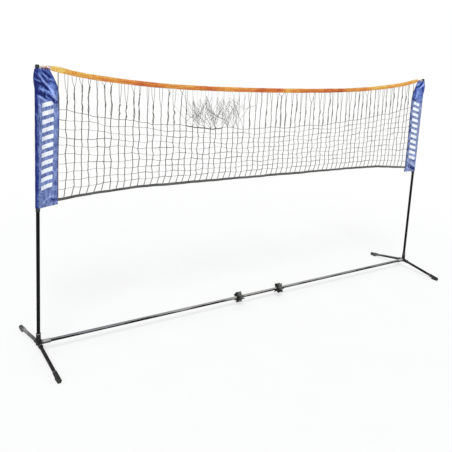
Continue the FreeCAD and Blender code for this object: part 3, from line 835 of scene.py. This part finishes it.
points, faces = [], []
for column, line in enumerate(knots):
    free = 0 < column < net_columns
    line[0].x -= foot_slant if free else 0.0
    above = line[-1:] + heads[column]
    line = line + heads[column]
    cord = []
    for a, b in zip(line, line[1:]):
        for k in range(upright_steps):
            share = k / upright_steps
            bow = 0.0009 * sin(pi * share * 2) if free else 0.0
            cord.append(a + (b - a) * share + Vector((bow, 0, 0)))
    cord.append(line[-1])
    # In the tangle the uprights are frayed thin above the meshes.
    frayed = 1 - 0.6 * min(1.0, 2.5 * tangled(line[0].x))
    whole = upright_steps * net_rows + 1
    radii = [upright_radius] * whole + [upright_radius * frayed] * (len(cord) - whole)
    add_tube(points, faces, cord, radii, 6)
    if not free:
        continue
    # Above the meshes most uprights have a second strand beside them.
    if random.random() < 0.85:
        aside = random.choice((-1, 1)) * random.uniform(0.003, 0.0065)
        twist = random.uniform(1.0, 2.6)
        cord = []
        for k, spot in enumerate(above):
            cord.append(spot + Vector((aside * sin(twist * k), -0.002, 0)))
        add_tube(points, faces, cord, beside_radius * frayed ** 2, 5)
    root = line[-1]
    spread = random.choice(fork_spreads)
    for reach in (-spread, spread * random.uniform(0.2, 1.1)):
        x = min(net_edge - 0.004, max(0.004 - net_edge, root.x + reach))
        target = Vector((x, 0, tape_foot(x) + 0.001))
        tie = bowed(root, target, tie_steps, Vector((reach * 0.3, 0, 0)))
        add_tube(points, faces, tie, tie_radius * frayed, 5)
# The tangled cords hang between the uprights, and cross each other.
for column in range(4, net_columns - 4):
    root = knots[column][-1]
    for _ in range(round(tangle_cords * tangled(root.x))):
        start = random.choice([root, root] + heads[column][:3])
        other = heads[column + random.choice((-3, -2, -2, -1, 1, 2))]
        end = random.choice(other[1:])
        raised = random.uniform(0.0, 0.75) * (tape_foot(end.x) - end.z)
        cord = loose_line(start, end + Vector((0, 0, raised)), 9, 0.0055)
        add_tube(points, faces, cord, random.uniform(0.0005, 0.001), 5)
for row in range(1, net_rows + 1):
    bold = 0
    for column in range(net_columns):
        a, b = knots[column][row], knots[column + 1][row]
        if bold == 0 and random.random() < bold_chance:
            bold = random.choice((1, 2, 2, 3))
        radius = bold_radius if bold else level_radius * random.uniform(0.8, 1.4)
        bold = max(0, bold - 1)
        if row == net_rows:
            radius = bold_radius * 0.8
        cord = bowed(a, b, level_steps, Vector((0, 0, -random.uniform(0.001, 0.0042))))
        add_tube(points, faces, cord, radius, 5)
        if row == net_rows and abs(a.x - doubled_middle) < doubled_reach:
            # The border cord is doubled where the tangle hangs on it.
            beside = [spot - Vector((0, 0.002, 0.003)) for spot in cord]
            add_tube(points, faces, beside, bold_radius * 1.1, 5)
for line in knots[1:-1]:
    for middle in line[1:]:
        add_knot(points, faces, middle)
net = piece_of("net_mesh_cords", points, faces)

net_finish, tree, shader = new_finish("olive net cord")
braid = noise(tree, stretched(tree, own_place(tree), (900, 900, 420)), 1, 2)
sun = noise(tree, own_place(tree), 5, 4)
colour = ramp(tree, sun, [(0.32, (0.06, 0.065, 0.047)), (0.68, (0.17, 0.176, 0.132))])
dress(tree, shader, colour, levels(tree, braid, 0.6, 0.9))
bump(tree, shader, braid, 0.0003, 0.6)
net.data.materials.append(net_finish)
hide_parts("net_mesh")
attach(net, "net_carriage")


# Each sleeve is one piece of royal blue nylon folded round the upper pole and sewn
# into a channel, with a flat double panel that holds the end of the net. Its top is
# gathered under the pole cap, so that deep folds fall from there; its foot has a hem.
sleeve_low, sleeve_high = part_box("sleeve_right")
sleeve_top = sleeve_high.z
sleeve_length = sleeve_high.z - sleeve_low.z
panel_width = pole_place - sleeve_low.x
gather_reach, gather_narrowing = 0.150, 0.046
channel_radius, channel_length = 0.01325, 0.046
channel_turn = radians(98)
bulge, bulge_reach = 0.006, 0.104
wave_size, wave_peak, wave_length, wave_slant = 0.006, 0.098, 0.062, 0.250
panel_half, panel_edge_half = 0.0022, 0.0015
top_round = 0.006
arc_steps, panel_steps, rim_steps = 10, 54, 4
sleeve_rows = 190
relief_unit, fold_sharpness, fold_height = 0.001, 0.85, 1.35
top_painted_shade, deep_reach = 0.42, 0.17
near_pole, below_gather, deepest_furrow = 0.014, 0.046, 0.0007
near_top, most_rounding, flat_rounding = 0.02, 0.0046, 0.75
foot_hem, foot_hem_rise = 0.019, 0.0005
calm_edge, pale_edge = 0.006, 0.009
wrapped_start, wrapped_reach = 0.006, 0.015
lift_start, lift_reach = 0.56, 0.15

# Folds as (half width, strength, places), in millimetres from the pole and below the top. A
# strength above 0 is a ridge, which also gets a painted highlight, and one below 0 a furrow, which
# also gets painted shade.
left_folds = [
    (4, 0.9, (16, 15), (53, 50)), (5, 0.7, (58, 51), (80, 56)),
    (5, 1.0, (-4, 23), (10, 40), (25, 62), (44, 78), (57, 90), (70, 112), (82, 131), (98, 157)),
    (4, 0.9, (-28, 42), (-9, 56), (12, 67)), (5, 0.55, (6, 100), (34, 109), (41, 107), (63, 121)),
    (10, -1.15, (-6, 117), (31, 131), (57, 146), (82, 162), (104, 171)),
    (9, -1.05, (-11, 68), (21, 76), (50, 96), (66, 115)),
    (4, 0.95, (-1, 133), (21, 149), (50, 164)), (7, -0.9, (22, 12), (50, 30), (70, 44)),
    (5, -0.75, (18, 33), (44, 59), (57, 72)), (6, -0.9, (-16, 28), (2, 49), (15, 58)),
    (14, 0.62, (56, 82), (76, 116), (92, 156)), (3, -0.4, (70, 92), (82, 108)),
    (3, -0.45, (84, 122), (92, 128)), (3, 0.35, (76, 130), (88, 150)),
    (3, -0.5, (62, 62), (84, 70)), (3, 0.7, (-3, 176), (14, 186)), (3, 0.5, (4, 232), (20, 246)),
    (3, 0.45, (6, 320), (22, 333)), (4, 0.35, (86, 210), (96, 262)),
    (4, 0.3, (84, 300), (100, 352)), (4, 0.3, (0, 402), (20, 420)), (3, 0.4, (80, 455), (98, 470)),
    (4, 0.3, (78, 520), (100, 560)), (3, 0.55, (4, 626), (26, 639)), (3, -0.5, (8, 634), (30, 646)),
    (3, 0.55, (54, 663), (104, 668)), (3, 0.6, (62, 662), (18, 698)),
    (3, 0.35, (60, 664), (66, 690)), (8, -0.75, (68, 678), (100, 690)),
    (7, -0.25, (30, 668), (52, 700)),
]
right_folds = [
    (4, 0.9, (-6, 8), (21, 40), (36, 52)), (4, -0.85, (18, 6), (38, 40), (62, 48), (92, 54)),
    (9, 0.5, (52, 20), (84, 40)), (6, -0.65, (16, 46), (7, 84)), (5, -0.9, (90, 56), (75, 88)),
    (8, -1.25, (92, 84), (88, 116)), (11, 0.35, (46, 78), (54, 140)),
    (4, -0.4, (18, 100), (34, 115)), (5, -0.6, (-2, 158), (13, 165)),
    (7, -0.95, (94, 128), (88, 146)), (7, -0.9, (90, 196), (100, 218)),
    (7, -0.85, (84, 262), (100, 296)), (7, -0.95, (74, 330), (100, 356)),
    (6, -0.9, (88, 372), (102, 408)), (6, -0.85, (66, 452), (94, 474)),
    (7, -0.95, (82, 508), (100, 544)),
    (4, -0.55, (84, 603), (62, 606), (47, 609), (27, 626), (3, 638)),
    (5, 0.5, (40, 590), (-2, 617)), (9, -1.7, (108, 636), (77, 659), (35, 684), (-8, 707)),
    (4, 0.9, (90, 632), (68, 646)), (8, 0.45, (44, 646), (0, 676)),
    (4, -0.9, (110, 656), (98, 664)), (5, -0.7, (110, 702), (96, 692)),
    (5, 0.4, (86, 680), (60, 700)),
]
back_folds = [
    (7, 0.8, (-6, 60), (30, 84), (60, 112), (96, 150)), (9, -0.9, (-6, 84), (40, 112), (92, 168)),
    (5, 0.8, (10, 14), (40, 54), (60, 84)), (6, -0.7, (26, 10), (52, 44), (78, 70)),
    (4, 0.4, (14, 190), (42, 226)), (5, 0.35, (58, 280), (90, 330)), (4, 0.3, (14, 380), (44, 420)),
    (5, 0.4, (56, 500), (90, 552)), (4, 0.55, (20, 620), (60, 650), (90, 690)),
    (7, -0.5, (30, 640), (88, 704)),
]


def off_line(u, d, places):
    """Distance from a bent line, and how far along it the nearest place is, 0 to 1."""
    nearest, share_there, done = 1e9, 0.0, 0.0
    for a, b in zip(places, places[1:]):
        long = dist(a, b)
        share = clamped(((u - a[0]) * (b[0] - a[0]) + (d - a[1]) * (b[1] - a[1])) / long ** 2)
        off = hypot(u - a[0] - (b[0] - a[0]) * share, d - a[1] - (b[1] - a[1]) * share)
        if off < nearest:
            nearest, share_there = off, done + long * share
        done += long
    return nearest, share_there / done


def drape(u, d, folds):
    """Relief (mm) and painted light and shade (tone) of the cloth at a place in millimetres."""
    relief = tone = 0.0
    for half, strength, *places in folds:
        depths = [place[1] for place in places]
        if not min(depths) - 3 * half < d < max(depths) + 3 * half:
            continue
        off, share = off_line(u, d, places)
        if off > 3 * half:
            continue
        taper = min(1.0, 0.35 + 4 * share, 0.35 + 4 * (1 - share))
        reach = strength * exp(-((off / half / fold_sharpness) ** 2)) * taper
        tone += reach
        relief += fold_height * reach * (1.1 + 0.16 * half)
    gather = max(0.0, 1 - d / 40)
    pleat = gather * sin(u * 0.7 + d * 0.05)
    relief += 1.1 * pleat + 0.3 * sin(u * 0.11 + d * 0.047) * sin(d * 0.021 + 1)
    relief += 0.2 * sin(u * 0.23 - d * 0.09 + 2)
    return relief, tone + 0.5 * pleat


def hump(depth, middle, half):
    """A smooth rise to 1 round one depth."""
    return exp(-(((depth - middle) / half) ** 2))


def panel_reach(depth, flare):
    """How far the panel stands out from the pole's axis."""
    gathered = clamped(1 - depth / gather_reach)
    loose = hump(depth, 0.2, 0.3) * min(1.0, depth / 0.1)
    foot = hump(depth, 0.708, 0.014) - 0.7 * hump(depth, 0.665, 0.016)
    return panel_width - gather_narrowing * gathered ** 2 + 0.009 * loose + flare * foot


def sleeve_outline(depth, width, radius):
    """Places round the sleeve at a depth, as (distance from the pole's axis, outward)."""
    depth_share = depth / wave_peak
    swing = wave_size * depth_share * exp(1 - depth_share)
    start = radius * cos(channel_turn)
    halves = []
    for face in (-1, 1):
        half_outline = []
        for i in range(arc_steps):
            turn = channel_turn * i / arc_steps
            half_outline.append((-radius * cos(turn), face * radius * sin(turn)))
        for i in range(panel_steps + 1):
            u = -start + (width + start) * i / panel_steps
            swell = 0.5 + 0.5 * cos(pi * clamped((u + start) / channel_length))
            thin = panel_half + (panel_edge_half - panel_half) * max(0.0, u) / width
            half = thin + (radius * sin(channel_turn) - thin) * swell
            shift = sin(2 * pi * (u / wave_length + depth / wave_slant))
            shift *= swing * (1 - swell) * min(1.0, 3 * (1 - u / width) + 0.15)
            half_outline.append((u, face * half + shift))
        halves.append(half_outline)
    outline = halves[0][:]
    (tip_u, front_y), back_y = halves[0][-1], halves[1][-1][1]
    reach = (back_y - front_y) / 2
    for i in range(1, rim_steps):
        turn = pi * i / rim_steps
        outline.append((tip_u + reach * sin(turn), front_y + reach * (1 - cos(turn))))
    return outline + halves[1][:0:-1]


def make_sleeve(name, side, front_folds, contrast, pole_shade, tip_shade, flare, lift):
    """Lofts the cloth down from the gather; lift is how far its foot rises at the net."""
    points, cloth, tones = [], [], []
    middle = arc_steps + panel_steps + rim_steps // 2
    for row in range(sleeve_rows + 1):
        share = row / sleeve_rows
        depth = sleeve_length * (0.42 * share + 0.58 * share ** 2)
        radius = channel_radius
        if depth < bulge_reach:
            radius += bulge * sin(pi * depth / bulge_reach)
        width = panel_reach(depth, flare)
        outline = sleeve_outline(depth, width, radius)
        count = len(outline)
        foot = clamped((depth - lift_start) / lift_reach) ** 2
        for i, (u, y) in enumerate(outline):
            before, after = outline[i - 1], outline[(i + 1) % count]
            out = Vector((after[1] - before[1], before[0] - after[0])).normalized()
            front = i <= middle
            relief, tone = drape(u * 1000, depth * 1000, front_folds if front else back_folds)
            relief *= relief_unit * (0.3 + 0.7 * clamped((width - u) / calm_edge))
            # Furrows stay clear of the pole, the hem is thicker and the top rounds over.
            if u < near_pole and depth > below_gather:
                relief = max(relief, -deepest_furrow)
            if depth > sleeve_length - foot_hem:
                relief += foot_hem_rise
            if depth < top_round:
                inset = top_round - sqrt(top_round ** 2 - (top_round - depth) ** 2)
                relief -= min(inset, most_rounding if u < near_top else abs(y) * flat_rounding)
            # Round the pole the cloth is painted darker, as painted shade where it turns away from
            # the light, and it is darker along its free edge.
            wrapped = clamped((wrapped_start - u) / wrapped_reach)
            free_edge = clamped(1 - (width - u) / pale_edge)
            tone = contrast * tone - pole_shade * wrapped - tip_shade * free_edge
            # Under the gathered top the cloth gets painted shade, less and less further down.
            tones.append(tone - top_painted_shade * clamped(1 - depth / deep_reach))
            height = sleeve_top - depth + lift * foot * max(0.0, u / width) ** 1.4
            x = side * (pole_place - u - out.x * relief)
            points.append(Vector((x, y + out.y * relief, height)))
            cloth.append(((width - u) * (-1 if front else 1), depth))
    made = piece_of(name, points, wrap(sleeve_rows + 1, count))
    painted_fold_shading = made.data.attributes.new("painted_fold_shading", "FLOAT", "POINT")
    painted_fold_shading.data.foreach_set("value", tones)
    make_cloth(made, cloth, 0.0006)
    return made


def sleeve_cloth(name, faded, fresh, dim):
    """Royal blue nylon: woven, satin, with white bars printed on its front."""
    finish, tree, shader = new_finish(name)
    cloth = cloth_place(tree)
    parts = split(tree, cloth)
    across, down = parts["X"], parts["Y"]
    # The fold attribute carries painted highlights on the ridges and painted shade in the furrows,
    # under the top and round the pole.
    painted_fold_shading = put(tree, "Attribute", {}, attribute_name="painted_fold_shading")["Fac"]
    cloud = noise(tree, stretched(tree, cloth, (55, 30, 1)), 1, 6)
    turned = stretched(tree, cloth, (150, 45, 1), Rotation=(0, 0, 0.6))
    crinkle = noise(tree, turned, 1, 4, Distortion=0.6)
    fold_light_and_shade = levels(tree, painted_fold_shading, 0, 1, -1.35, 1.15)
    clouded = levels(tree, cloud, -0.2, 0.2, 0.25, 0.75)
    crinkled = levels(tree, crinkle, -0.19, 0.19, 0.3, 0.7)
    tone = added(tree, fold_light_and_shade, clouded, crinkled, faded)
    deep = [(0.1, (0.003, 0.008, 0.12)), (0.34, (0.018, 0.042, 0.23))]
    light = [(0.54, (0.085, 0.145, 0.42)), (0.74, (0.165, 0.25, 0.57)), (0.97, (0.34, 0.44, 0.9))]
    colour = ramp(tree, tone, deep + light)
    # Below the gathered top the cloth has faded greyer, but not where the furrows' painted shade
    # lies.
    below = levels(tree, down, 0, 1, 0.12, 0.2)
    old = maths(tree, "MULTIPLY", below, levels(tree, tone, 0, 1, 0.22, 0.48))
    worn = {"Saturation": levels(tree, old, 1.0, fresh), "Value": levels(tree, old, 1.0, dim)}
    colour = put(tree, "HueSaturation", {"Color": colour, **worn})["Color"]
    # A column of slanting white bars is printed down the front.
    slant = maths(tree, "MULTIPLY_ADD", across, 0.28, down)
    column = maths(tree, "COMPARE", across, -0.0585, 0.03)
    reach = maths(tree, "COMPARE", slant, 0.375, 0.2265)
    bars = maths(tree, "MULTIPLY", dashes(tree, slant, 0.0427, 0.52, 0.15), column)
    # The printed bars take the painted shade of the furrows too.
    ink = ramp(tree, tone, [(0.2, (0.4, 0.45, 0.66)), (0.5, (0.82, 0.86, 0.93))])
    colour = mix(tree, maths(tree, "MULTIPLY", bars, reach), colour, ink)
    # Stitches run down beside the channel, along the tip and along the hem.
    off_tip = maths(tree, "ABSOLUTE", across)
    seams = [maths(tree, "COMPARE", off_tip, place, 0.0005) for place in (0.0065, 0.0825)]
    seams = maths(tree, "MULTIPLY", maths(tree, "MAXIMUM", *seams), dashes(tree, down, 0.004, 0.66))
    foot = maths(tree, "COMPARE", down, sleeve_length - 0.017, 0.0005)
    foot = maths(tree, "MULTIPLY", foot, dashes(tree, across, 0.004, 0.66))
    stitches = maths(tree, "MAXIMUM", seams, foot)
    colour = mix(tree, stitches, colour, (0.2, 0.29, 0.68, 1))
    dress(tree, shader, colour, levels(tree, cloud, 0.3, 0.5, 0.3, 0.7), 0.2, 0.06)
    shader.inputs["Sheen Tint"].default_value = (0.55, 0.68, 1, 1)
    threads = 1 / 0.0009
    under = bump(tree, shader, weave(tree, across, down, threads, threads), 0.00012, 0.3)
    under = bump(tree, shader, crinkle, 0.0022, 0.7, under)
    bump(tree, shader, stitches, 0.0004, 0.8, under)
    return finish


for name, side, folds, contrast, pole_shade, tip_shade, faded, fresh, dim, flare, lift in (
    ("left", -1, left_folds, 1.5, 1.15, 0.45, 0.04, 0.84, 0.92, 0.0, 0.011),
    ("right", 1, right_folds, 2.3, 0.35, 1.1, 0.11, 0.74, 0.8, 0.007, 0.0),
):
    sleeve = make_sleeve(
        "sleeve_cloth_" + name, side, folds, contrast, pole_shade, tip_shade, flare, lift
    )
    sleeve.data.materials.append(sleeve_cloth("blue nylon sleeve " + name, faded, fresh, dim))
    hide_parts("sleeve_" + name)
    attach(sleeve, "net_carriage")


bpy.context.view_layer.update()
